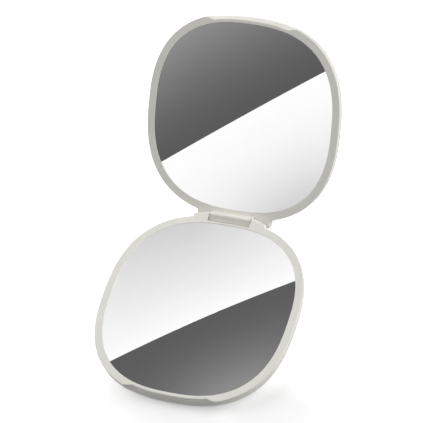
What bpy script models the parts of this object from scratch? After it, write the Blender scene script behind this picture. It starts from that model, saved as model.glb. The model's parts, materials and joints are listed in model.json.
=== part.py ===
"""Folding compact mirror: two rounded-square halves on a three-knuckle hinge, with a glass in each half.

Lengths are in metres and +Z is up. The origin is the middle of the lower half's flat underside, the hinge
runs along X at the back (+Y), and the lid stands at its full opening. Both halves are modelled in the same
half frame, bezel up, and the lid's pieces are then turned over and swung open about the hinge pin.
"""

import math

import bmesh
import bpy
from mathutils import Matrix, Vector

MM = 0.001

# Outline, shared by both halves: a superellipse round the glass, and the rim outside it
GLASS_HALF = 35.0 * MM
OUTLINE_POWER = 2.58
RIM_WIDTH = 3.0 * MM
OUTLINE_POINTS = 120
NEAR_CORNER_SHARE = 0.5

# Side of a half, from the bezel down: straight wall, then a quarter round to the flat back
WALL_HEIGHT = 1.8 * MM
BACK_RADIUS = 4.6 * MM
HALF_THICKNESS = WALL_HEIGHT + BACK_RADIUS
BACK_STEPS = 7
EDGE_SOFTENING = 0.2 * MM

# Finger scoop in the free edge of each half, its half length measured on the glass outline
SCOOP_HALF = 17.2 * MM
SCOOP_RAMP = 2.9 * MM
SCOOP_INSET = 1.7 * MM
SCOOP_DROP = 4.6 * MM

# Back cover: outer skin of a half below the seam
SEAM = 0.12 * MM
COVER_FLOOR = 1.2 * MM
COVER_RIM = 1.95 * MM
COVER_CORNER = 1.1 * MM
COVER_CORNER_RISE = 0.8 * MM
POST_RADIUS = 1.5 * MM
POST_REACH = 20.0 * MM

# Frame: bezel flange, and the tray that plugs into the cover
PLUG_INSET = 2.1 * MM
POCKET_CLEARANCE = 0.1 * MM
TRAY_FLOOR = 0.9 * MM
SEAT_GAP = 0.1 * MM

# Glass and the adhesive foam under it
GLASS_THICKNESS = 1.6 * MM
GLASS_RECESS = 0.12 * MM
MAGNIFIER_RADIUS = 800.0 * MM
DISH_RINGS = 9
PAD_THICKNESS = 0.5 * MM
PAD_LEAST = 0.2 * MM
PAD_INSET = 1.2 * MM
PAD_WIDTH = 7.0 * MM
PAD_RINGS = 4

# Closing magnets in the front corners of both rims
MAGNET_RADIUS = 1.0 * MM
MAGNET_HEIGHT = 1.2 * MM
MAGNET_SKIN = 0.5 * MM
MAGNET_CLEARANCE = 0.1 * MM
MAGNET_INSET = 1.5 * MM

# Hinge: the pin's place follows from the opening angle and the half's section, further down
OPENING = math.radians(141.6)
PARTING_GAP = 0.2 * MM
PIN_BEHIND_EDGE = 0.42 * MM
TABLE_GAP = 0.02 * MM
PIN_RADIUS = 0.6 * MM
PIN_SHORT = 0.3 * MM
PIN_CLEARANCE = 0.06 * MM

# Lower half's hinge block: a plate flush with the bezel, a web under it and two tapered barrels
BLOCK_HALF = 14.4 * MM
BLOCK_FRONT = 5.0 * MM
BLOCK_CORNER = 0.35 * MM
CORNER_STEPS = 4
PLATE_OUT = 1.5 * MM
PLATE_EDGE = 0.45 * MM
PLATE_EDGE_STEPS = 3
WEB_STEP = 0.1 * MM
WEB_BACK = 0.05 * MM
WEB_BOTTOM = 1.6 * MM
WEB_EDGE = 0.4 * MM
BARREL_RADIUS = 1.75 * MM
BARREL_SHORT = 2.1 * MM
BARREL_END_RADIUS = 1.0 * MM
BARREL_END_EDGE = 0.3 * MM
BARREL_RINGS = 5

# Lid's knuckle, which turns in a recess of the lower half, and the straight skirt beside it
KNUCKLE_HALF = 8.1 * MM
KNUCKLE_FRONT = 1.95 * MM
KNUCKLE_REACH = 1.8 * MM
KNUCKLE_FRONT_RADIUS = 1.0 * MM
KNUCKLE_BACK_RADIUS = 0.5 * MM
KNUCKLE_ROOT = 0.6 * MM
RECESS_SIDE_GAP = 0.3 * MM
RECESS_FRONT_GAP = 0.38 * MM
RECESS_FLOOR_GAP = 0.25 * MM
SKIRT_BACK = 1.3 * MM
SKIRT_DEPTH = 3.0 * MM
SKIRT_RADIUS = 1.6 * MM
ARC_STEPS = 5
NOTCH_CLEARANCE = 0.15 * MM

# How far cutters run past what they cut, how near points are joined, and how finely round things are divided
OVERRUN = 1.0 * MM
WELD = 0.0001 * MM
BARREL_SIDES = 32
PIN_SIDES = 24
ROUND_SIDES = 24
PLATE_POINTS = 11
SHARP_ANGLE = math.radians(30)

# Derived sizes
OUTER_HALF = GLASS_HALF + RIM_WIDTH
BEZEL_Z = HALF_THICKNESS
SEAM_Z = BEZEL_Z - WALL_HEIGHT
# The open lid's back edge comes down level with the underside, so that the open mirror stands on both.
PIN_DEPTH = (
    (PIN_BEHIND_EDGE + BACK_RADIUS) * math.sin(OPENING)
    + WALL_HEIGHT * (1 + math.cos(OPENING))
    + PARTING_GAP * math.cos(OPENING)
    - TABLE_GAP
) / (1 - math.cos(OPENING))
BARREL_HALF = BLOCK_HALF - BARREL_SHORT
PIN_HALF = BARREL_HALF - PIN_SHORT
PIN_Y = OUTER_HALF + PIN_BEHIND_EDGE
PIN_Z = BEZEL_Z - PIN_DEPTH
LID_PIN_RISE = PIN_DEPTH + PARTING_GAP
RECESS_HALF = KNUCKLE_HALF + RECESS_SIDE_GAP
CORNER_SHARE = 2 ** (-1 / OUTLINE_POWER)
CORNER_REACH = GLASS_HALF * CORNER_SHARE * math.sqrt(2)
CORNER_SAG = MAGNIFIER_RADIUS - math.sqrt(MAGNIFIER_RADIUS**2 - CORNER_REACH**2)
DISH_Z = BEZEL_Z - GLASS_RECESS - CORNER_SAG
BASE_TRAY_TOP = DISH_Z - GLASS_THICKNESS - PAD_LEAST
LID_TRAY_TOP = BEZEL_Z - GLASS_RECESS - GLASS_THICKNESS - PAD_THICKNESS - 2 * SEAT_GAP

# Colours (linear), roughness and metallic value of each material
PLASTIC = ((0.70, 0.67, 0.61), 0.45, 0.0)
GLASS = ((0.90, 0.92, 0.92), 0.05, 1.0)
STEEL = ((0.60, 0.60, 0.60), 0.30, 1.0)
FOAM = ((0.85, 0.85, 0.83), 0.90, 0.0)
NICKEL = ((0.70, 0.68, 0.64), 0.25, 1.0)


def clear_scene():
    for obj in list(bpy.data.objects):
        bpy.data.objects.remove(obj, do_unlink=True)


def new_collection(name):
    collection = bpy.data.collections.new(name)
    bpy.context.scene.collection.children.link(collection)
    return collection


def material(name, look):
    colour, roughness, metallic = look
    made = bpy.data.materials.new(name)
    made.use_nodes = True
    shader = made.node_tree.nodes["Principled BSDF"]
    shader.inputs["Base Color"].default_value = (*colour, 1.0)
    shader.inputs["Roughness"].default_value = roughness
    shader.inputs["Metallic"].default_value = metallic
    return made


def add(name, mesh, collection):
    obj = bpy.data.objects.new(name, mesh)
    collection.objects.link(obj)
    return obj


def mesh_of(bm, name):
    bmesh.ops.recalc_face_normals(bm, faces=bm.faces)
    mesh = bpy.data.meshes.new(name)
    bm.to_mesh(mesh)
    bm.free()
    return mesh


def box(name, low, high):
    """Box between two corners, kept as a helper for a cut or a join."""
    low, high = Vector(low), Vector(high)
    bm = bmesh.new()
    bmesh.ops.create_cube(bm, size=1.0)
    bmesh.ops.scale(bm, vec=high - low, verts=bm.verts)
    bmesh.ops.translate(bm, vec=(low + high) / 2, verts=bm.verts)
    return helper(add(name, mesh_of(bm, name), HELPERS))


def cylinder(name, radius, half_length, sides, centre, along, collection):
    """Cylinder about a centre, along X or Z."""
    bm = bmesh.new()
    bmesh.ops.create_cone(
        bm, cap_ends=True, segments=sides, radius1=radius, radius2=radius, depth=2 * half_length
    )
    if along == "X":
        bmesh.ops.rotate(bm, matrix=Matrix.Rotation(math.pi / 2, 3, "Y"), verts=bm.verts)
    bmesh.ops.translate(bm, vec=centre, verts=bm.verts)
    return add(name, mesh_of(bm, name), collection)


def helper(obj):
    """Marks a cutter or a shape to join, which isn't a piece itself."""
    obj.hide_render = True
    obj.display_type = "WIRE"
    return obj


def evaluated_mesh(obj):
    bpy.context.view_layer.update()
    return bpy.data.meshes.new_from_object(obj.evaluated_get(bpy.context.evaluated_depsgraph_get()))


def as_mesh(obj):
    """Replaces a curve or a modified object by its evaluated mesh, with the caps welded on."""
    mesh = evaluated_mesh(obj)
    bm = bmesh.new()
    bm.from_mesh(mesh)
    bmesh.ops.remove_doubles(bm, verts=bm.verts, dist=WELD)
    bmesh.ops.recalc_face_normals(bm, faces=bm.faces)
    bm.to_mesh(mesh)
    bm.free()
    made = add(obj.name + "_solid", mesh, obj.users_collection[0])
    made.matrix_world = obj.matrix_world
    bpy.data.objects.remove(obj, do_unlink=True)
    return made


def slab(name, section, half_length):
    """Flat outline of (y, z) pairs given a length along X, centred on x = 0."""
    curve = bpy.data.curves.new(name, "CURVE")
    curve.dimensions = "2D"
    curve.fill_mode = "BOTH"
    curve.extrude = half_length
    spline = curve.splines.new("POLY")
    spline.points.add(len(section) - 1)
    for target, (across, up) in zip(spline.points, section):
        target.co = (across, up, 0.0, 1.0)
    spline.use_cyclic_u = True
    obj = add(name, curve, HELPERS)
    obj.matrix_world = Matrix(((0, 0, 1, 0), (1, 0, 0, 0), (0, 1, 0, 0), (0, 0, 0, 1)))
    return helper(as_mesh(obj))


def turned(name, profile, sides):
    """Solid of revolution about Z from (radius, height) pairs that run down its outer side."""
    mesh = bpy.data.meshes.new(name)
    points = [(radius, 0.0, height) for radius, height in profile]
    mesh.from_pydata(points, [(i, i + 1) for i in range(len(points) - 1)], [])
    obj = add(name, mesh, HELPERS)
    screw = obj.modifiers.new("turn", "SCREW")
    screw.steps = sides
    screw.render_steps = sides
    screw.use_merge_vertices = True
    screw.merge_threshold = WELD
    return helper(as_mesh(obj))


def combine(obj, operation, *others):
    """Cuts or joins other solids with a piece, in order."""
    for other in others:
        modifier = obj.modifiers.new(other.name, "BOOLEAN")
        modifier.operation = operation
        modifier.object = other
    return obj


def outline_angles():
    """Parameters of the outline's points: an even spread, with a point at each end of the scoop's ramps."""
    step = 2 * math.pi / OUTLINE_POINTS
    corners = []
    for reach in (SCOOP_HALF, SCOOP_HALF - SCOOP_RAMP):
        angle = math.acos((reach / GLASS_HALF) ** (OUTLINE_POWER / 2))
        corners += [math.pi + angle, 2 * math.pi - angle]
    even = [
        step * k
        for k in range(OUTLINE_POINTS)
        if all(abs(step * k - corner) > NEAR_CORNER_SHARE * step for corner in corners)
    ]
    return sorted(even + corners)


def scoop_share(x, y):
    """How much of the scoop's full inset a point of the glass outline gets: all in the middle, none past the ramps."""
    if y > 0:
        return 0.0
    return min(max((SCOOP_HALF - abs(x)) / SCOOP_RAMP, 0.0), 1.0)


def ring(inset, z, scoop=0.0):
    """Outline moved inwards from the outer edge, at a height; the scoop's inset counts where it is larger."""
    points = []
    for angle in ANGLES:
        cosine, sine = math.cos(angle), math.sin(angle)
        x = math.copysign(abs(cosine) ** (2 / OUTLINE_POWER), cosine) * GLASS_HALF
        y = math.copysign(abs(sine) ** (2 / OUTLINE_POWER), sine) * GLASS_HALF
        normal = Vector(
            (
                math.copysign(abs(cosine) ** (2 - 2 / OUTLINE_POWER), cosine),
                math.copysign(abs(sine) ** (2 - 2 / OUTLINE_POWER), sine),
            )
        ).normalized()
        out = RIM_WIDTH - max(inset, scoop * scoop_share(x, y))
        points.append((x + out * normal.x, y + out * normal.y, z))
    return points


def scoop_inset(depth):
    """Inset of the scoop's slanted face, this far under the bezel."""
    return max(SCOOP_INSET * (1 - depth / SCOOP_DROP), 0.0)


def outer_ring(depth, inset=0.0):
    """Ring of a half's outer surface, this far under the bezel."""
    return ring(inset, BEZEL_Z - depth, scoop_inset(depth) + inset)


def loft(name, rings, collection, endless=False):
    """Skin over rings of as many points each: the first and the last close it, or are joined to each other."""
    bm = bmesh.new()
    loops = [[bm.verts.new(point) for point in points] for points in rings]
    if endless:
        loops.append(loops[0])
    else:
        bm.faces.new(reversed(loops[0]))
        bm.faces.new(loops[-1])
    count = len(loops[0])
    for one, two in zip(loops, loops[1:]):
        for i in range(count):
            j = (i + 1) % count
            bm.faces.new((one[i], one[j], two[j], two[i]))
    return add(name, mesh_of(bm, name), collection)


def edge_y(x, out):
    """Back edge of the outline at a place across it, moved out by a distance."""
    share = (1 - (abs(x) / GLASS_HALF) ** OUTLINE_POWER) ** (1 / OUTLINE_POWER)
    return GLASS_HALF * share + RIM_WIDTH + out


def cover(half, tray_bottom):
    """Back cover: quarter-round skin with a flat floor, and four posts under the tray."""
    rings = []
    for step in range(BACK_STEPS):
        angle = math.pi / 2 * (1 - step / BACK_STEPS)
        depth = WALL_HEIGHT + BACK_RADIUS * math.sin(angle)
        rings.append(outer_ring(depth, BACK_RADIUS * (1 - math.cos(angle))))
    rings.append(outer_ring(WALL_HEIGHT + SEAM))
    rings.append(ring(COVER_RIM, SEAM_Z - SEAM))
    rings.append(ring(COVER_RIM, COVER_FLOOR + COVER_CORNER_RISE))
    rings.append(ring(COVER_RIM + COVER_CORNER, COVER_FLOOR))
    made = loft(f"{half}_cover", rings, PARTS)
    top = tray_bottom - SEAT_GAP
    low = COVER_FLOOR / 2
    for across in (-POST_REACH, POST_REACH):
        for along in (-POST_REACH, POST_REACH):
            centre = (across, along, (low + top) / 2)
            name = f"{half}_post_{len(made.modifiers)}"
            post = cylinder(name, POST_RADIUS, (top - low) / 2, ROUND_SIDES, centre, "Z", HELPERS)
            combine(made, "UNION", seat(helper(post), half))
    notch = box(
        f"{half}_cover_notch",
        (-BLOCK_HALF - NOTCH_CLEARANCE, PIN_Y - BLOCK_FRONT - NOTCH_CLEARANCE, WEB_BOTTOM - NOTCH_CLEARANCE),
        (BLOCK_HALF + NOTCH_CLEARANCE, PIN_Y + OVERRUN, SEAM_Z + OVERRUN),
    )
    combine(made, "DIFFERENCE", seat(notch, half))
    return finish(made, half, PLASTIC)


def frame_body(half, tray_top):
    """Bezel flange with the tray below it."""
    rings = [
        ring(PLUG_INSET, tray_top - TRAY_FLOOR),
        ring(PLUG_INSET, SEAM_Z),
        outer_ring(WALL_HEIGHT),
        outer_ring(EDGE_SOFTENING),
        outer_ring(0.0, EDGE_SOFTENING),
        ring(RIM_WIDTH - POCKET_CLEARANCE, BEZEL_Z),
        ring(RIM_WIDTH - POCKET_CLEARANCE, tray_top),
    ]
    return loft(f"{half}_frame", rings, PARTS)


def pocket(half, tray_top):
    """Space of the glass, cut again from what the hinge adds to the frame."""
    inset = RIM_WIDTH - POCKET_CLEARANCE
    rings = [ring(inset, tray_top), ring(inset, BEZEL_Z + OVERRUN)]
    return seat(helper(loft(f"{half}_pocket", rings, HELPERS)), half)


def magnets(half, frame):
    """A disc magnet under the skin of each front corner, and its bore from the flange's underside.

    The lid is turned over later, so that what is on its left is modelled on the right.
    """
    top = BEZEL_Z - MAGNET_SKIN
    low = SEAM_Z - OVERRUN
    reach = GLASS_HALF * CORNER_SHARE + (RIM_WIDTH - MAGNET_INSET) / math.sqrt(2)
    right = -1 if half == "lid" else 1
    for side, x in (("left", -reach * right), ("right", reach * right)):
        name = f"{half}_magnet_bore_{side}"
        radius = MAGNET_RADIUS + MAGNET_CLEARANCE
        centre = (x, -reach, (low + top) / 2)
        bore = cylinder(name, radius, (top - low) / 2, ROUND_SIDES, centre, "Z", HELPERS)
        combine(frame, "DIFFERENCE", seat(helper(bore), half))
        name = f"{half}_magnet_{side}"
        centre = (x, -reach, top - MAGNET_CLEARANCE / 2 - MAGNET_HEIGHT / 2)
        disc = cylinder(name, MAGNET_RADIUS, MAGNET_HEIGHT / 2, ROUND_SIDES, centre, "Z", PARTS)
        finish(disc, half, NICKEL)


def block_ring(inset, z, limit):
    """Plan of the hinge block at a height: its back runs parallel to the rim, no further back than the limit."""
    half = BLOCK_HALF - inset
    straight = half - BLOCK_CORNER
    back = [(straight * (2 * k / (PLATE_POINTS - 1) - 1), 0.0) for k in range(PLATE_POINTS)]
    for k in range(1, CORNER_STEPS + 1):
        angle = math.pi / 2 * k / CORNER_STEPS
        x = straight + BLOCK_CORNER * math.sin(angle)
        drop = BLOCK_CORNER * (1 - math.cos(angle))
        back = [(-x, drop), *back, (x, drop)]
    front = PIN_Y - BLOCK_FRONT + inset
    points = [(half, front, z), (-half, front, z)]
    return points + [(x, min(edge_y(x, PLATE_OUT - inset) - drop, limit), z) for x, drop in back]


def hinge_block():
    """Lower half's hinge block: the web below the pin's axis, and the plate above it with a rounded top edge."""
    web_back = PIN_Y - WEB_BACK
    rings = [
        block_ring(WEB_STEP + WEB_EDGE, WEB_BOTTOM, web_back - WEB_EDGE),
        block_ring(WEB_STEP, WEB_BOTTOM + WEB_EDGE, web_back),
        block_ring(WEB_STEP, PIN_Z, web_back),
    ]
    furthest = PIN_Y + PLATE_OUT
    rings.append(block_ring(0.0, PIN_Z, furthest))
    for k in range(PLATE_EDGE_STEPS + 1):
        angle = math.pi / 2 * k / PLATE_EDGE_STEPS
        inset = PLATE_EDGE * (1 - math.cos(angle))
        rings.append(block_ring(inset, BEZEL_Z - PLATE_EDGE * (1 - math.sin(angle)), furthest))
    return helper(loft("hinge_block", rings, HELPERS))


def barrel(name, side):
    """Outer knuckle, turned about the pin and tapered towards its end; side is 1 or -1 along X."""
    start = RECESS_HALF - OVERRUN
    profile = [(0.0, BARREL_HALF), (BARREL_END_RADIUS - BARREL_END_EDGE, BARREL_HALF)]
    end = BARREL_HALF - BARREL_END_EDGE
    for k in range(BARREL_RINGS + 1):
        share = k / BARREL_RINGS
        radius = BARREL_END_RADIUS + (BARREL_RADIUS - BARREL_END_RADIUS) * math.sin(share * math.pi / 2)
        profile.append((radius, end + (RECESS_HALF - end) * share))
    profile += [(BARREL_RADIUS, start), (0.0, start)]
    made = turned(name, profile, BARREL_SIDES)
    turn = Matrix.Rotation(side * math.pi / 2, 4, "Y")
    made.matrix_world = Matrix.Translation((0.0, PIN_Y, PIN_Z)) @ turn
    return made


def base_frame():
    """Lower frame: bezel, tray and hinge block with its two barrels, open in the middle for the lid's knuckle."""
    made = frame_body("base", BASE_TRAY_TOP)
    combine(made, "UNION", hinge_block(), barrel("barrel_right", 1), barrel("barrel_left", -1))
    sweep = knuckle_sweep()
    recess = box(
        "knuckle_recess",
        (-RECESS_HALF, PIN_Y - sweep - RECESS_FRONT_GAP, PIN_Z - sweep - RECESS_FLOOR_GAP),
        (RECESS_HALF, PIN_Y + BARREL_RADIUS + OVERRUN, BEZEL_Z + OVERRUN),
    )
    bore_radius = PIN_RADIUS + PIN_CLEARANCE
    centre = (0.0, PIN_Y, PIN_Z)
    bore = helper(
        cylinder("base_bore", bore_radius, BLOCK_HALF + OVERRUN, PIN_SIDES, centre, "X", HELPERS)
    )
    magnets("base", made)
    combine(made, "DIFFERENCE", pocket("base", BASE_TRAY_TOP), recess, bore)
    return finish(made, "base", PLASTIC)


def arc(centre, radius, start, end):
    """Points of an arc between two angles in degrees."""
    points = []
    for k in range(ARC_STEPS + 1):
        angle = math.radians(start + (end - start) * k / ARC_STEPS)
        points.append((centre[0] + radius * math.cos(angle), centre[1] + radius * math.sin(angle)))
    return points


def skirt_section():
    """Section of the lid's skirt in the half frame: flush with the bezel, its far edge rounded."""
    front, back, bottom = PIN_Y - BLOCK_FRONT, PIN_Y + SKIRT_BACK, BEZEL_Z - SKIRT_DEPTH
    points = [(front, bottom), (front, BEZEL_Z), (back - EDGE_SOFTENING, BEZEL_Z), (back, BEZEL_Z - EDGE_SOFTENING)]
    return points + arc((back - SKIRT_RADIUS, bottom + SKIRT_RADIUS), SKIRT_RADIUS, 0, -90)


def knuckle_section():
    """Section of the knuckle in the half frame: square faces towards the glass, the pin and the back, edges rounded."""
    front, back = PIN_Y - KNUCKLE_FRONT, PIN_Y + SKIRT_BACK
    root, tip = BEZEL_Z - KNUCKLE_ROOT, BEZEL_Z + LID_PIN_RISE + KNUCKLE_REACH
    points = [(back, root), (front, root)]
    points += arc((front + KNUCKLE_FRONT_RADIUS, tip - KNUCKLE_FRONT_RADIUS), KNUCKLE_FRONT_RADIUS, 180, 90)
    return points + arc((back - KNUCKLE_BACK_RADIUS, tip - KNUCKLE_BACK_RADIUS), KNUCKLE_BACK_RADIUS, 90, 0)


def knuckle_sweep():
    """Furthest that the knuckle's two rounded edges reach from the pin as the lid turns."""
    reaches = []
    for across, radius in ((KNUCKLE_FRONT, KNUCKLE_FRONT_RADIUS), (SKIRT_BACK, KNUCKLE_BACK_RADIUS)):
        reaches.append(math.hypot(across - radius, KNUCKLE_REACH - radius) + radius)
    return max(reaches)


def lid_frame():
    """Upper frame: bezel, tray, the straight skirt at the hinge and the middle knuckle."""
    made = frame_body("lid", LID_TRAY_TOP)
    skirt = slab("lid_skirt", skirt_section(), BLOCK_HALF)
    knuckle = slab("lid_knuckle", knuckle_section(), KNUCKLE_HALF)
    combine(made, "UNION", seat(skirt, "lid"), seat(knuckle, "lid"))
    bore_radius = PIN_RADIUS + PIN_CLEARANCE
    centre = (0.0, PIN_Y, BEZEL_Z + LID_PIN_RISE)
    bore = helper(
        cylinder("lid_bore", bore_radius, KNUCKLE_HALF + OVERRUN, PIN_SIDES, centre, "X", HELPERS)
    )
    magnets("lid", made)
    combine(made, "DIFFERENCE", pocket("lid", LID_TRAY_TOP), seat(bore, "lid"))
    return finish(made, "lid", PLASTIC)


def scaled(points, share, height):
    """Ring drawn in towards the middle, with its heights from a function of the distance to the middle."""
    return [(x * share, y * share, height(math.hypot(x, y) * share)) for x, y, _ in points]


def dish_height(centre_z):
    """Height of a spherical face whose lowest point is in the middle."""
    return lambda reach: centre_z + MAGNIFIER_RADIUS - math.sqrt(MAGNIFIER_RADIUS**2 - reach**2)


def base_mirror():
    """Magnifying glass: an even sheet, slightly dished."""
    edge = ring(RIM_WIDTH, 0.0)
    top = dish_height(DISH_Z)
    bottom = dish_height(DISH_Z - GLASS_THICKNESS)
    shares = [(k + 1) / DISH_RINGS for k in range(DISH_RINGS)]
    rings = [scaled(edge, share, bottom) for share in shares]
    rings += [scaled(edge, share, top) for share in reversed(shares)]
    return finish(loft("base_mirror", rings, PARTS), "base", GLASS)


def base_mirror_pad():
    """Foam ring that fills the wedge between the dished glass and the flat tray."""
    top = dish_height(DISH_Z - GLASS_THICKNESS - SEAT_GAP)
    low = BASE_TRAY_TOP + SEAT_GAP
    insets = [RIM_WIDTH + PAD_INSET + PAD_WIDTH * k / PAD_RINGS for k in range(PAD_RINGS + 1)]
    crown = [scaled(ring(inset, 0.0), 1.0, top) for inset in insets]
    rings = [*crown, ring(insets[-1], low), ring(insets[0], low)]
    return finish(loft("base_mirror_pad", rings, PARTS, endless=True), "base", FOAM)


def lid_mirror():
    """Flat glass."""
    top = BEZEL_Z - GLASS_RECESS
    low = top - GLASS_THICKNESS
    rings = [ring(RIM_WIDTH, low), ring(RIM_WIDTH, top)]
    return finish(loft("lid_mirror", rings, PARTS), "lid", GLASS)


def lid_mirror_pad():
    """Flat sheet of adhesive foam under the flat glass."""
    low = LID_TRAY_TOP + SEAT_GAP
    inset = RIM_WIDTH + PAD_INSET
    rings = [ring(inset, low), ring(inset, low + PAD_THICKNESS)]
    return finish(loft("lid_mirror_pad", rings, PARTS), "lid", FOAM)


def hinge_pin():
    made = cylinder("hinge_pin", PIN_RADIUS, PIN_HALF, PIN_SIDES, (0.0, PIN_Y, PIN_Z), "X", PARTS)
    return finish(made, "base", STEEL)


def lid_pivot():
    """Empty on the pin's axis, turned by the opening angle, which carries everything of the lid."""
    pivot = bpy.data.objects.new("lid_pivot", None)
    PARTS.objects.link(pivot)
    pivot.location = (0.0, PIN_Y, PIN_Z)
    pivot.rotation_euler = (-OPENING, 0.0, 0.0)
    return pivot


def seat(obj, half):
    """Puts a piece or a helper where its half is: the lid's are turned over and hung on the pivot."""
    if half == "lid":
        mirror_z = BEZEL_Z + PARTING_GAP / 2
        over = Matrix.Rotation(math.pi, 4, "Y")
        shift = Matrix.Translation((0.0, -PIN_Y, 2 * mirror_z - PIN_Z))
        obj.matrix_basis = shift @ over @ obj.matrix_basis
        obj.parent = PIVOT
    return obj


def finish(obj, half, look):
    """Places a piece with its cuts applied, gives it its own material and shades its round faces smooth."""
    seat(obj, half)
    if obj.modifiers:
        obj.data = evaluated_mesh(obj)
        obj.modifiers.clear()
    obj.data.materials.clear()
    obj.data.materials.append(material(obj.name, look))
    obj.data.shade_smooth()
    obj.data.set_sharp_from_angle(angle=SHARP_ANGLE)
    return obj


clear_scene()
PARTS = new_collection("compact_mirror")
HELPERS = new_collection("helpers")
ANGLES = outline_angles()
PIVOT = lid_pivot()

base_frame()
cover("base", BASE_TRAY_TOP - TRAY_FLOOR)
base_mirror()
base_mirror_pad()
hinge_pin()
lid_frame()
cover("lid", LID_TRAY_TOP - TRAY_FLOOR)
lid_mirror()
lid_mirror_pad()
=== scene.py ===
import json
import math
from typing import NamedTuple

import bmesh
import bpy
from mathutils import Euler, Matrix, Vector

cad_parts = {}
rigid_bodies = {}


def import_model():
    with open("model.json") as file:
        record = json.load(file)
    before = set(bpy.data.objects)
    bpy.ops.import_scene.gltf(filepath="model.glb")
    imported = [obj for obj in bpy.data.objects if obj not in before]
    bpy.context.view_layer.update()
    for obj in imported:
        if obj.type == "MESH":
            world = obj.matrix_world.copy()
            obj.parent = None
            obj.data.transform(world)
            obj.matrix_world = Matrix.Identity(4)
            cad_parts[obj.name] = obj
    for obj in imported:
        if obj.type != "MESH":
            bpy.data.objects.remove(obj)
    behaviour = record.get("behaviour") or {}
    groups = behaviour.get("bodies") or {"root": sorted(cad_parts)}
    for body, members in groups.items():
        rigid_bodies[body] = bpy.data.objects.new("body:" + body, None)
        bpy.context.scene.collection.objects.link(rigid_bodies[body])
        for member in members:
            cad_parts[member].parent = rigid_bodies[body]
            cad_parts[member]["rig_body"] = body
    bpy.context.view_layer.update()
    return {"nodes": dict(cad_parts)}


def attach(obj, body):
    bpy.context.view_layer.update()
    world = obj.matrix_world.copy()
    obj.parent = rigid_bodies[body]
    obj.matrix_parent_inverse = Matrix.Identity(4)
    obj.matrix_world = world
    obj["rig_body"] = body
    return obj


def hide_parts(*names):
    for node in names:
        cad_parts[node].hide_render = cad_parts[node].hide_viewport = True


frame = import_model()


class Noise(NamedTuple):
    """A noise texture: its cells per metre, its layers of detail, and how much the finer layers count."""

    scale: float
    detail: float = 2.0
    roughness: float = 0.5


class Relief(NamedTuple):
    """How strongly a texture dents a surface, and how deep in metres."""

    strength: float
    depth: float


class Metal(NamedTuple):
    """A plated metal: its colour, span of roughness, and drawn lines, which run along the axis of least scale."""

    colour: tuple
    roughness: tuple
    line_scale: tuple
    lines: Noise


class Lamp(NamedTuple):
    """A square lamp that looks at AIM: its side in metres and its power in watts."""

    name: str
    place: tuple
    size: float
    power: float


class Side(NamedTuple):
    """Brightness of a card on one side of its edge: near + change * (distance * bow)**power.

    The bow, 1 + lean * x + curl * x**2, varies with the place x along the edge.
    """

    near: float
    change: float
    power: float
    lean: float
    curl: float


class Card(NamedTuple):
    """A studio card, pale on one side of an edge and dark on the other.

    The edge is an arc. It runs in the direction along, where it passes the card's centre at the sag, and the side
    beyond it holds the arc's own centre.
    """

    name: str
    centre: tuple
    normal: tuple
    along: tuple
    edge_radius: float
    edge_sag: float
    before: Side
    beyond: Side


# Camera: where it stands, how it is turned in degrees, its focal length and the width of its sensor in mm
CAMERA_PLACE = (0.429689, -0.464232, 1.032374)
CAMERA_TURN = (30.1981, 14.0912, 18.2656)
FOCAL_LENGTH = 279.923
SENSOR_WIDTH = 36.0

# Floor: a pale sheet just under the object, with one colour for the light that it throws back and one for the
# eye. A glow makes it plain white, but less of it in a circle before the object, which keeps the object's shadow
FLOOR_SIZE = 8.0
FLOOR_DROP = 0.0002
FLOOR_COLOUR = 0.55
FLOOR_SHOWN_COLOUR = 0.76
SHADOW_CENTRE = (0.030, -0.131, 0.0)
SHADOW_FADE = (0.105, 0.122)
FLOOR_GLOW_NEAR = 0.382
FLOOR_GLOW_ROUND = 0.80
FLOOR_GLOW_FAR = 1.0
FLOOR_FADE = (0.15, 0.80)

# Lamps, the faint even light of the studio, and how bright mirrors show the studio at the horizon and overhead
LAMPS = (
    Lamp("left_high", (-1.3, 0.0, 0.9), 0.8, 10.8),
    Lamp("back_left_low", (-1.2, 0.9, 0.3), 0.8, 13.5),
    Lamp("right_wide", (1.2, 0.3, 0.9), 1.6, 24.3),
)
AIM = (0.0, 0.04, 0.01)
SKY_STRENGTH = 0.045
SKY_IN_MIRRORS = (0.66, 0.94)

# Cards that only reflections show, one for each glass, and the least and most brightness of their two sides
CARD_SIZE = 1.6
CARDS = (
    Card(
        name="lid_card",
        centre=(-0.52944, -0.98568, 0.95165),
        normal=(0.353, 0.7039, -0.6163),
        along=(0.7396, 0.1935, 0.6446),
        edge_radius=4.2,
        edge_sag=0.0002,
        before=Side(near=0.108, change=12.8, power=1.71, lean=-0.6, curl=14.0),
        beyond=Side(near=1.04, change=-32.5, power=1.83, lean=0.46, curl=-50.0),
    ),
    Card(
        name="base_card",
        centre=(-0.72025, 0.78079, 1.69714),
        normal=(0.3617, -0.3929, -0.8454),
        along=(-0.8166, -0.5710, -0.0840),
        edge_radius=0.3084,
        edge_sag=0.0059,
        before=Side(near=1.046, change=-2.69, power=0.89, lean=1.38, curl=-69.0),
        beyond=Side(near=0.114, change=12.6, power=1.8, lean=3.6, curl=-118.0),
    ),
)
CARD_DARK = (0.10, 0.36)
CARD_PALE = (0.62, 1.05)
CARD_LEAST_BOW = 0.3

# Shapes: points closer than WELD are one point, edges bent more than SHARP stay sharp
WELD = 0.000001
SHARP = math.radians(25.0)

# Glasses: radius of the dished face, thickness, how far the edge fills the clearance round it, width of the ground
# edge, rings of facets on the face and back, digits by which the outline's directions are told apart, and slots
DISH_RADIUS = 0.8
GLASS_THICKNESS = 0.0016
EDGE_FILL = 0.00008
GROUND_EDGE = 0.00003
FACE_RINGS = 20
BACK_RINGS = 6
TURN_DIGITS = 3
SILVERED_SLOT, GROUND_SLOT = 0, 1

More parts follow.
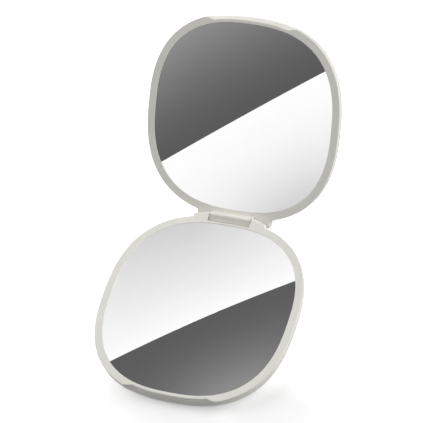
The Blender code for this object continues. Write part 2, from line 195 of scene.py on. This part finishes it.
# Spans of a texture's values: all of them, those that most of a noise lies in, and the upper part of these
ALL = (0.0, 1.0)
MOST = (0.3, 0.7)
UPPER = (0.35, 0.7)
TOP = (0.4, 0.7)

# Sockets of a colour mix that take its first and its second colour
MIX_FIRST, MIX_SECOND = 6, 7

# Moulded plastic: its colour and how much darker and lighter it drifts, its span of roughness, and its textures,
# of which the grain has cells of 0.22 mm
OFF_WHITE = (0.80, 0.79, 0.735)
PLASTIC_SHADES = (0.955, 1.02)
PLASTIC_ROUGHNESS = (0.34, 0.46)
PLASTIC_IOR = 1.5
PLASTIC_GRAIN = Noise(1.0 / 0.00022, 3.0, 0.6)
PLASTIC_WAVES = Noise(140.0, 1.0)
PLASTIC_DRIFT = Noise(60.0)
PLASTIC_SPECKS = Noise(900.0)
DRIFT_IN_COLOUR = 0.7
GRAIN_IN_GLOSS = 0.5
WAVES_RELIEF = Relief(0.25, 0.0001)
GRAIN_RELIEF = Relief(0.35, 0.00002)

# Silvered glass: its colours where it is clear and under its film, span of roughness, and its textures
SILVER = ((0.952, 0.955, 0.953), (0.936, 0.940, 0.938))
SILVER_ROUGHNESS = (0.0, 0.006)
SILVER_FILM = Noise(90.0, 3.0, 0.55)
SILVER_DUST = Noise(1500.0, 2.0, 0.6)
SILVER_RIPPLE = Noise(45.0, 0.0)
FILM_IN_HAZE = 0.7
RIPPLE_RELIEF = Relief(0.02, 0.00001)

# Ground edge of a glass: its two colours, span of roughness, and its textures
GROUND_COLOURS = ((0.80, 0.84, 0.81), (0.90, 0.92, 0.90))
GROUND_ROUGHNESS = (0.45, 0.75)
GROUND_FROST = Noise(9000.0, 3.0, 0.6)
GROUND_CHIPS = Noise(1200.0, 1.0)
FROST_RELIEF = Relief(0.3, 0.00001)

# Foam: its colours in the middle and at the rim of a cell, the middle darker as painted shade of the cell's hollow,
# span of roughness, cells per metre and reach of a cell
FOAM_COLOURS = ((0.30, 0.30, 0.31), (0.50, 0.50, 0.50))
FOAM_ROUGHNESS = (0.82, 0.95)
FOAM_CELLS = 3000.0
FOAM_REACH = (0.0, 0.8)
FOAM_RELIEF = Relief(0.6, 0.0001)

# Metals of the pin and the magnets, their stains, how dark these are, and how deep the drawn lines are
PIN_STEEL = Metal((0.60, 0.58, 0.55), (0.20, 0.36), (0.05, 1.0, 1.0), Noise(1.0 / 0.0001, 3.0, 0.6))
NICKEL = Metal((0.66, 0.64, 0.60), (0.14, 0.30), (1.0, 0.1, 1.0), Noise(1.0 / 0.00015, 3.0, 0.6))
METAL_STAINS = Noise(700.0)
METAL_STAIN_SHADE = 0.88
LINES_RELIEF = Relief(0.3, 0.000005)


class Nodes:
    """A short way to write a material's nodes: a value is a number, a colour or another node's output."""

    def __init__(self, tree):
        self.tree = tree

    def add(self, kind, inputs=None, **settings):
        node = self.tree.nodes.new("ShaderNode" + kind)
        for key, value in settings.items():
            setattr(node, key, value)
        for key, value in (inputs or {}).items():
            self.feed(node.inputs[key], value)
        return node

    def feed(self, socket, value):
        if isinstance(value, bpy.types.NodeSocket):
            self.tree.links.new(value, socket)
        else:
            socket.default_value = value

    def math(self, operation, first, second=0.0):
        return self.add("Math", {0: first, 1: second}, operation=operation).outputs[0]

    def weigh(self, first, second, share):
        """Mean of two values, in which the first has this share."""
        return self.math("ADD", self.math("MULTIPLY", first, share), self.math("MULTIPLY", second, 1.0 - share))

    def noise(self, where, texture):
        inputs = {"Vector": where, "Scale": texture.scale, "Detail": texture.detail, "Roughness": texture.roughness}
        return self.add("TexNoise", inputs).outputs["Fac"]

    def spread(self, value, ends, span=ALL):
        """Spreads a span of values from one end to the other."""
        inputs = {"Value": value, "From Min": span[0], "From Max": span[1], "To Min": ends[0], "To Max": ends[1]}
        return self.add("MapRange", inputs).outputs["Result"]

    def mottle(self, value, first, second, span=MOST):
        """Goes from one colour to the other over a span of values."""
        node = self.add("Mix", data_type="RGBA")
        self.feed(node.inputs["Factor"], self.spread(value, ALL, span))
        self.feed(node.inputs[MIX_FIRST], first)
        self.feed(node.inputs[MIX_SECOND], second)
        return node.outputs[2]

    def dent(self, height, relief, **below):
        """Surface normal dented by a texture, over the one below it where there is one."""
        inputs = {"Strength": relief.strength, "Distance": relief.depth, "Height": height, **below}
        return self.add("Bump", inputs).outputs["Normal"]


def opaque(colour, shade=1.0):
    """An opaque colour, made darker or lighter by a shade."""
    return tuple(min(1.0, shade * part) for part in colour) + (1.0,)


def grey(value):
    return (value, value, value, 1.0)


def new_material(name):
    """A material with its nodes, its shader and the place on the object."""
    material = bpy.data.materials.new(name)
    material.use_nodes = True
    nodes = Nodes(material.node_tree)
    shader = material.node_tree.nodes["Principled BSDF"]
    where = nodes.add("TexCoord").outputs["Object"]
    return material, nodes, shader, where


def moulded_plastic(name):
    """Matte moulded plastic: fine eroded grain, slight waviness, and a faint drift of colour and gloss."""
    material, nodes, shader, where = new_material(name)
    fine = nodes.noise(where, PLASTIC_GRAIN)
    waves = nodes.noise(where, PLASTIC_WAVES)
    drift = nodes.noise(where, PLASTIC_DRIFT)
    specks = nodes.noise(where, PLASTIC_SPECKS)
    darker, lighter = (opaque(OFF_WHITE, shade) for shade in PLASTIC_SHADES)
    patches = nodes.weigh(drift, specks, DRIFT_IN_COLOUR)
    nodes.feed(shader.inputs["Base Color"], nodes.mottle(patches, darker, lighter))
    gloss = nodes.weigh(fine, drift, GRAIN_IN_GLOSS)
    nodes.feed(shader.inputs["Roughness"], nodes.spread(gloss, PLASTIC_ROUGHNESS, MOST))
    wavy = nodes.dent(waves, WAVES_RELIEF)
    nodes.feed(shader.inputs["Normal"], nodes.dent(fine, GRAIN_RELIEF, Normal=wavy))
    shader.inputs["IOR"].default_value = PLASTIC_IOR
    return material


def mirror_glass(name):
    """Silvered glass: clear reflections with a barely visible film of polish."""
    material, nodes, shader, where = new_material(name)
    film = nodes.noise(where, SILVER_FILM)
    dust = nodes.noise(where, SILVER_DUST)
    clear, filmed = (opaque(colour) for colour in SILVER)
    nodes.feed(shader.inputs["Base Color"], nodes.mottle(film, clear, filmed, UPPER))
    shader.inputs["Metallic"].default_value = 1.0
    haze = nodes.weigh(film, dust, FILM_IN_HAZE)
    nodes.feed(shader.inputs["Roughness"], nodes.spread(haze, SILVER_ROUGHNESS, TOP))
    nodes.feed(shader.inputs["Normal"], nodes.dent(nodes.noise(where, SILVER_RIPPLE), RIPPLE_RELIEF))
    return material


def ground_glass(name):
    """Ground edge of a glass: pale and frosted."""
    material, nodes, shader, where = new_material(name)
    frost = nodes.noise(where, GROUND_FROST)
    chips = nodes.noise(where, GROUND_CHIPS)
    darker, paler = (opaque(colour) for colour in GROUND_COLOURS)
    nodes.feed(shader.inputs["Base Color"], nodes.mottle(chips, darker, paler))
    nodes.feed(shader.inputs["Roughness"], nodes.spread(frost, GROUND_ROUGHNESS, MOST))
    nodes.feed(shader.inputs["Normal"], nodes.dent(frost, FROST_RELIEF))
    return material


def foam_tape(name):
    """Closed-cell foam: cells of about a third of a millimetre, paler at their rims and darker in their hollow
    middles, which is painted shade.
    """
    material, nodes, shader, where = new_material(name)
    cells = nodes.add("TexVoronoi", {"Vector": where, "Scale": FOAM_CELLS}).outputs["Distance"]
    darker, paler = (opaque(colour) for colour in FOAM_COLOURS)
    # painted shade: each cell is darker in its hollow middle and paler at its rim
    nodes.feed(shader.inputs["Base Color"], nodes.mottle(cells, darker, paler, FOAM_REACH))
    nodes.feed(shader.inputs["Roughness"], nodes.spread(cells, FOAM_ROUGHNESS))
    nodes.feed(shader.inputs["Normal"], nodes.dent(cells, FOAM_RELIEF))
    return material


def plated_metal(name, metal):
    """Metal with lines drawn along one direction, and faint stains."""
    material, nodes, shader, where = new_material(name)
    drawn = nodes.add("Mapping", {"Vector": where, "Scale": metal.line_scale}).outputs["Vector"]
    lines = nodes.noise(drawn, metal.lines)
    stains = nodes.noise(where, METAL_STAINS)
    clean, stained = opaque(metal.colour), opaque(metal.colour, METAL_STAIN_SHADE)
    nodes.feed(shader.inputs["Base Color"], nodes.mottle(stains, clean, stained, UPPER))
    shader.inputs["Metallic"].default_value = 1.0
    nodes.feed(shader.inputs["Roughness"], nodes.spread(lines, metal.roughness, MOST))
    nodes.feed(shader.inputs["Normal"], nodes.dent(lines, LINES_RELIEF))
    return material


def stand_in(node, name, bm, *materials):
    """Makes a smoothly shaded piece that stands for a CAD node on its body."""
    mesh = bpy.data.meshes.new(name)
    bm.to_mesh(mesh)
    bm.free()
    mesh.shade_smooth()
    mesh.set_sharp_from_angle(angle=SHARP)
    for material in materials:
        mesh.materials.append(material)
    piece = bpy.data.objects.new(name, mesh)
    bpy.context.scene.collection.objects.link(piece)
    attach(piece, frame["nodes"][node]["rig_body"])
    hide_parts(node)
    return piece


def moulding(node, material):
    """A frame or cover with the CAD node's own shape, shaded smoothly over its small facets."""
    cad = frame["nodes"][node].data
    bm = bmesh.new()
    points = [bm.verts.new(vertex.co) for vertex in cad.vertices]
    for polygon in cad.polygons:
        bm.faces.new([points[k] for k in polygon.vertices])
    bmesh.ops.remove_doubles(bm, verts=bm.verts, dist=WELD)
    piece = stand_in(node, node + "_moulding", bm, material)
    even = piece.modifiers.new("even_shading", "WEIGHTED_NORMAL")
    even.keep_sharp = True


def outline_about(centre, points):
    """Outermost point in each direction about a centre, as (distance, x, y) from it, in turn."""
    outermost = {}
    for point in points:
        x, y = point.x - centre[0], point.y - centre[1]
        turn = round(math.atan2(y, x), TURN_DIGITS)
        outermost[turn] = max(outermost.get(turn, (0.0, 0.0, 0.0)), (math.hypot(x, y), x, y))
    return [outermost[turn] for turn in sorted(outermost)]


def glass(node, name, silver, dished):
    """A mirror glass with a ground edge, its face flat or part of a sphere.

    It is made level and then leans as the CAD node does. The facets of a dished face are too fine to break a
    reflection.
    """
    cad = frame["nodes"][node].data
    lean = Matrix.Identity(3)
    if not dished:
        upper = (polygon for polygon in cad.polygons if polygon.normal.z > 0.0)
        face = max(upper, key=lambda polygon: polygon.area)
        lean = Vector((0.0, 0.0, 1.0)).rotation_difference(face.normal).to_matrix()
    level = [lean.transposed() @ vertex.co for vertex in cad.vertices]
    lowest, highest = ([extreme(point[axis] for point in level) for axis in range(3)] for extreme in (min, max))
    centre = [(low + high) / 2.0 for low, high in zip(lowest[:2], highest[:2])]
    outline = outline_about(centre, level)

    def rise(distance):
        """How far a face rises from its middle to a distance."""
        return DISH_RADIUS - math.sqrt(DISH_RADIUS**2 - distance**2) if dished else 0.0

    middle = highest[2] - rise(max(distance for distance, _, _ in outline))
    back = middle - GLASS_THICKNESS
    bm = bmesh.new()

    def corner(x, y, z):
        return bm.verts.new(lean @ Vector((centre[0] + x, centre[1] + y, z)))

    def ring(share, height, inset=0.0, drop=0.0):
        """Points round a share of the outline, over or under the face's own height."""
        points = []
        for distance, x, y in outline:
            part = share * (distance + EDGE_FILL - inset) / distance
            points.append(corner(part * x, part * y, height + rise(part * distance) - drop))
        return points

    rings = [ring((k + 1) / BACK_RINGS, back) for k in range(BACK_RINGS)]
    ground = (len(rings), len(rings) + 1)
    rings += [ring(1.0, middle, drop=GROUND_EDGE), ring(1.0, middle, inset=GROUND_EDGE)]
    rings += [ring((k + 1) / FACE_RINGS, middle, inset=2.0 * GROUND_EDGE) for k in reversed(range(FACE_RINGS))]
    for place, (before, after) in enumerate(zip(rings, rings[1:]), start=1):
        for k in range(len(outline)):
            facet = bm.faces.new((before[k - 1], after[k - 1], after[k], before[k]))
            facet.material_index = GROUND_SLOT if place in ground else SILVERED_SLOT
    for points, height in ((rings[0], back), (rings[-1], middle)):
        tip = corner(0.0, 0.0, height)
        for k in range(len(points)):
            bm.faces.new((tip, points[k - 1], points[k]))
    bmesh.ops.recalc_face_normals(bm, faces=bm.faces)
    stand_in(node, name, bm, silver, ground_glass(name + "_ground_edge"))


def dress():
    """Gives each CAD node its looks: stand-ins for the mouldings and glasses, and a material for the rest."""
    for node in ("base_frame", "base_cover", "lid_frame", "lid_cover"):
        moulding(node, moulded_plastic(node + "_plastic"))
    glass("base_mirror", "base_mirror_glass", mirror_glass("base_mirror_silver"), dished=True)
    glass("lid_mirror", "lid_mirror_glass", mirror_glass("lid_mirror_silver"), dished=False)
    finish = {
        "base_mirror_pad": foam_tape("base_pad_foam"),
        "lid_mirror_pad": foam_tape("lid_pad_foam"),
        "hinge_pin": plated_metal("pin_steel", PIN_STEEL),
    }
    for node in frame["nodes"]:
        if "magnet" in node:
            finish[node] = plated_metal(node + "_nickel", NICKEL)
    for node, material in finish.items():
        for slot in frame["nodes"][node].material_slots:
            slot.material = material


def camera():
    """The photograph's camera."""
    data = bpy.data.cameras.new("camera")
    data.lens = FOCAL_LENGTH
    data.sensor_width = SENSOR_WIDTH
    obj = bpy.data.objects.new("camera", data)
    bpy.context.scene.collection.objects.link(obj)
    obj.location = CAMERA_PLACE
    obj.rotation_euler = Euler([math.radians(angle) for angle in CAMERA_TURN])
    bpy.context.scene.camera = obj


def sheet(name, size):
    """A flat square of the studio, which is not part of the object."""
    bpy.ops.mesh.primitive_plane_add(size=size)
    plane = bpy.context.object
    plane.name = name
    material = bpy.data.materials.new(name)
    material.use_nodes = True
    material.node_tree.nodes.clear()
    plane.data.materials.append(material)
    return plane, Nodes(material.node_tree)


def shown(nodes):
    """1 for camera, glossy and transmission rays, 0 for the rays that light things."""
    path = nodes.add("LightPath").outputs
    either = nodes.math("MAXIMUM", path["Is Glossy Ray"], path["Is Transmission Ray"])
    return nodes.math("MAXIMUM", path["Is Camera Ray"], either)


def floor():
    """The pale floor, which glows less where it keeps the object's shadow."""
    plane, nodes = sheet("floor", FLOOR_SIZE)
    plane.location.z = -FLOOR_DROP
    where = nodes.add("TexCoord").outputs["Object"]
    near = nodes.add("VectorMath", {0: where, 1: SHADOW_CENTRE}, operation="DISTANCE").outputs["Value"]
    away = nodes.add("VectorMath", {0: where}, operation="LENGTH").outputs["Value"]
    inner = nodes.spread(near, (FLOOR_GLOW_NEAR, FLOOR_GLOW_ROUND), SHADOW_FADE)
    outer = nodes.spread(away, (0.0, FLOOR_GLOW_FAR - FLOOR_GLOW_ROUND), FLOOR_FADE)
    matte = nodes.add("BsdfDiffuse", {"Color": grey(FLOOR_COLOUR)}).outputs[0]
    shade = nodes.add("BsdfDiffuse", {"Color": grey(FLOOR_SHOWN_COLOUR)}).outputs[0]
    light = nodes.add("Emission", {"Color": grey(1.0), "Strength": nodes.math("ADD", inner, outer)}).outputs[0]
    both = nodes.add("AddShader", {0: shade, 1: light}).outputs[0]
    mix = nodes.add("MixShader", {0: shown(nodes), 1: matte, 2: both}).outputs[0]
    nodes.add("OutputMaterial", {"Surface": mix})


def side_brightness(nodes, side, depth, x):
    """Brightness on one side of a card's edge, at a distance from the edge and a place x along it."""
    slope = nodes.math("ADD", side.lean, nodes.math("MULTIPLY", side.curl, x))
    bow = nodes.math("MAXIMUM", nodes.math("ADD", 1.0, nodes.math("MULTIPLY", slope, x)), CARD_LEAST_BOW)
    rise = nodes.math("POWER", nodes.math("MULTIPLY", depth, bow), side.power)
    level = nodes.math("ADD", side.near, nodes.math("MULTIPLY", side.change, rise))
    least, most = CARD_PALE if side.change < 0.0 else CARD_DARK
    return nodes.math("MINIMUM", nodes.math("MAXIMUM", level, least), most)


def card(row):
    """A flat card that only reflections show: pale on one side of an edge and dark on the other."""
    plane, nodes = sheet(row.name, CARD_SIZE)
    out = Vector(row.normal).normalized()
    side = Vector(row.along)
    side = (side - side.dot(out) * out).normalized()
    turn = Matrix((side, out.cross(side), out)).transposed()
    plane.matrix_world = Matrix.Translation(row.centre) @ turn.to_4x4()
    for ray in ("camera", "diffuse", "transmission", "volume_scatter", "shadow"):
        setattr(plane, "visible_" + ray, False)
    where = nodes.add("TexCoord").outputs["Object"]
    inputs = {0: where, 1: (0.0, row.edge_radius - row.edge_sag, 0.0)}
    from_centre = nodes.add("VectorMath", inputs, operation="DISTANCE").outputs["Value"]
    distance = nodes.math("SUBTRACT", row.edge_radius, from_centre)
    depth = nodes.math("ABSOLUTE", distance)
    x = nodes.add("SeparateXYZ", {0: where}).outputs["X"]
    before, beyond = (side_brightness(nodes, each, depth, x) for each in (row.before, row.beyond))
    past = nodes.math("GREATER_THAN", distance, 0.0)
    step = nodes.math("MULTIPLY", past, nodes.math("SUBTRACT", beyond, before))
    light = nodes.add("Emission", {"Color": grey(1.0), "Strength": nodes.math("ADD", before, step)}).outputs[0]
    nodes.add("OutputMaterial", {"Surface": light})
    plane.data.materials[0].cycles.emission_sampling = "NONE"


def lamp(row):
    """A square lamp that looks at the object."""
    data = bpy.data.lights.new(row.name, "AREA")
    data.size = row.size
    data.energy = row.power
    obj = bpy.data.objects.new(row.name, data)
    bpy.context.scene.collection.objects.link(obj)
    obj.location = row.place
    obj.rotation_euler = (Vector(AIM) - Vector(row.place)).to_track_quat("-Z", "Y").to_euler()


def sky():
    """The studio's even light: plain white to the camera, a soft rise to the zenith in mirrors, faint elsewhere."""
    world = bpy.data.worlds.new("studio")
    bpy.context.scene.world = world
    world.use_nodes = True
    nodes = Nodes(world.node_tree)
    path = nodes.add("LightPath").outputs
    height = nodes.add("SeparateXYZ", {0: nodes.add("TexCoord").outputs["Generated"]}).outputs["Z"]
    mirrored = nodes.math("MULTIPLY", path["Is Glossy Ray"], nodes.spread(height, SKY_IN_MIRRORS))
    strength = nodes.math("MAXIMUM", path["Is Camera Ray"], mirrored)
    strength = nodes.math("MAXIMUM", strength, path["Is Transmission Ray"])
    strength = nodes.math("MAXIMUM", strength, SKY_STRENGTH)
    background = world.node_tree.nodes["Background"]
    background.inputs["Color"].default_value = grey(1.0)
    nodes.feed(background.inputs["Strength"], strength)


dress()
camera()
floor()
for each in CARDS:
    card(each)
for each in LAMPS:
    lamp(each)
sky()
bpy.context.scene.view_settings.view_transform = "Standard"
